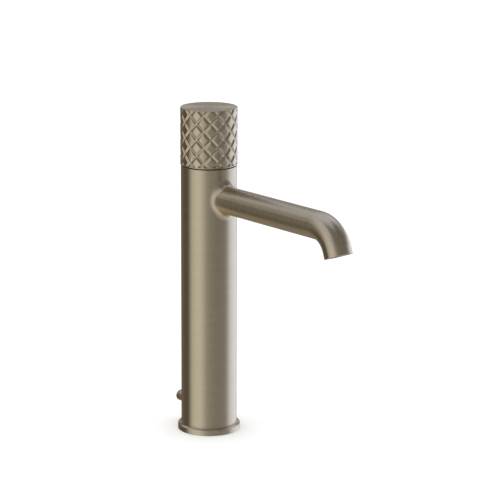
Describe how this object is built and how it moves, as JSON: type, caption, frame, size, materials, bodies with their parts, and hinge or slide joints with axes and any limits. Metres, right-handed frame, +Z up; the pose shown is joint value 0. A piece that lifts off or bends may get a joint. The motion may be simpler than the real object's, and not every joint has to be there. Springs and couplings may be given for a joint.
{
  "type": "basin mixer faucet",
  "caption": "Tall slim basin mixer: round column on a thin foot, level spout bent down at its end, patterned handle that turns on top, and a lift knob for the plug at the back.",
  "frame": {"origin": "centre of the foot's underside, on the deck and on the column's axis", "axes": "+Z up along the column's axis, -Y along the spout towards the user, +Y towards the wall, where the lift knob is"},
  "size_m": [0.045, 0.1845, 0.236],
  "materials": {
    "brushed_body": "brushed warm nickel plate on brass, fine satin lines round each tube",
    "raw_brass": "machined brass",
    "rubber": "matt black rubber",
    "polymer": "moulded off-white acetal",
    "ceramic": "lapped alumina ceramic",
    "stainless": "plain stainless steel"
  },
  "bodies": {
    "column_assembly": {"foot": "brushed_body", "deck_gasket": "rubber", "foot_o_ring": "rubber", "column": "brushed_body", "spout_tube": "brushed_body", "spout_saddle": "brushed_body", "aerator_housing": "brushed_body", "aerator_insert": "polymer", "aerator_screen": "stainless", "aerator_seal": "rubber", "valve_body": "raw_brass", "body_o_rings": "rubber", "lock_ring": "raw_brass", "cartridge_base": "polymer", "port_seals": "rubber", "fixed_disc": "ceramic", "cartridge_housing": "polymer", "thrust_washer": "stainless", "cartridge_nut": "raw_brass", "stop_ring": "polymer", "lift_guide": "polymer"},
    "handle_assembly": {"moving_disc": "ceramic", "disc_carrier": "polymer", "spindle": "raw_brass", "stem_o_ring": "rubber", "handle_insert": "raw_brass", "insert_screw": "stainless", "handle": "brushed_body", "handle_grub_screw": "stainless"},
    "lift_assembly": {"lift_slider": "raw_brass", "knob_neck": "brushed_body", "lift_knob": "brushed_body"}
  },
  "joints": [
    {"name": "handle_turn", "type": "hinge", "parent": "column_assembly", "child": "handle_assembly", "pos_m": [0, 0, 0.2155], "axis": [0, 0, 1], "range_deg": [0, 110]},
    {"name": "waste_lift", "type": "slide", "parent": "column_assembly", "child": "lift_assembly", "axis": [0, 0, 1], "range_m": [0, 0.028]}
  ]
}
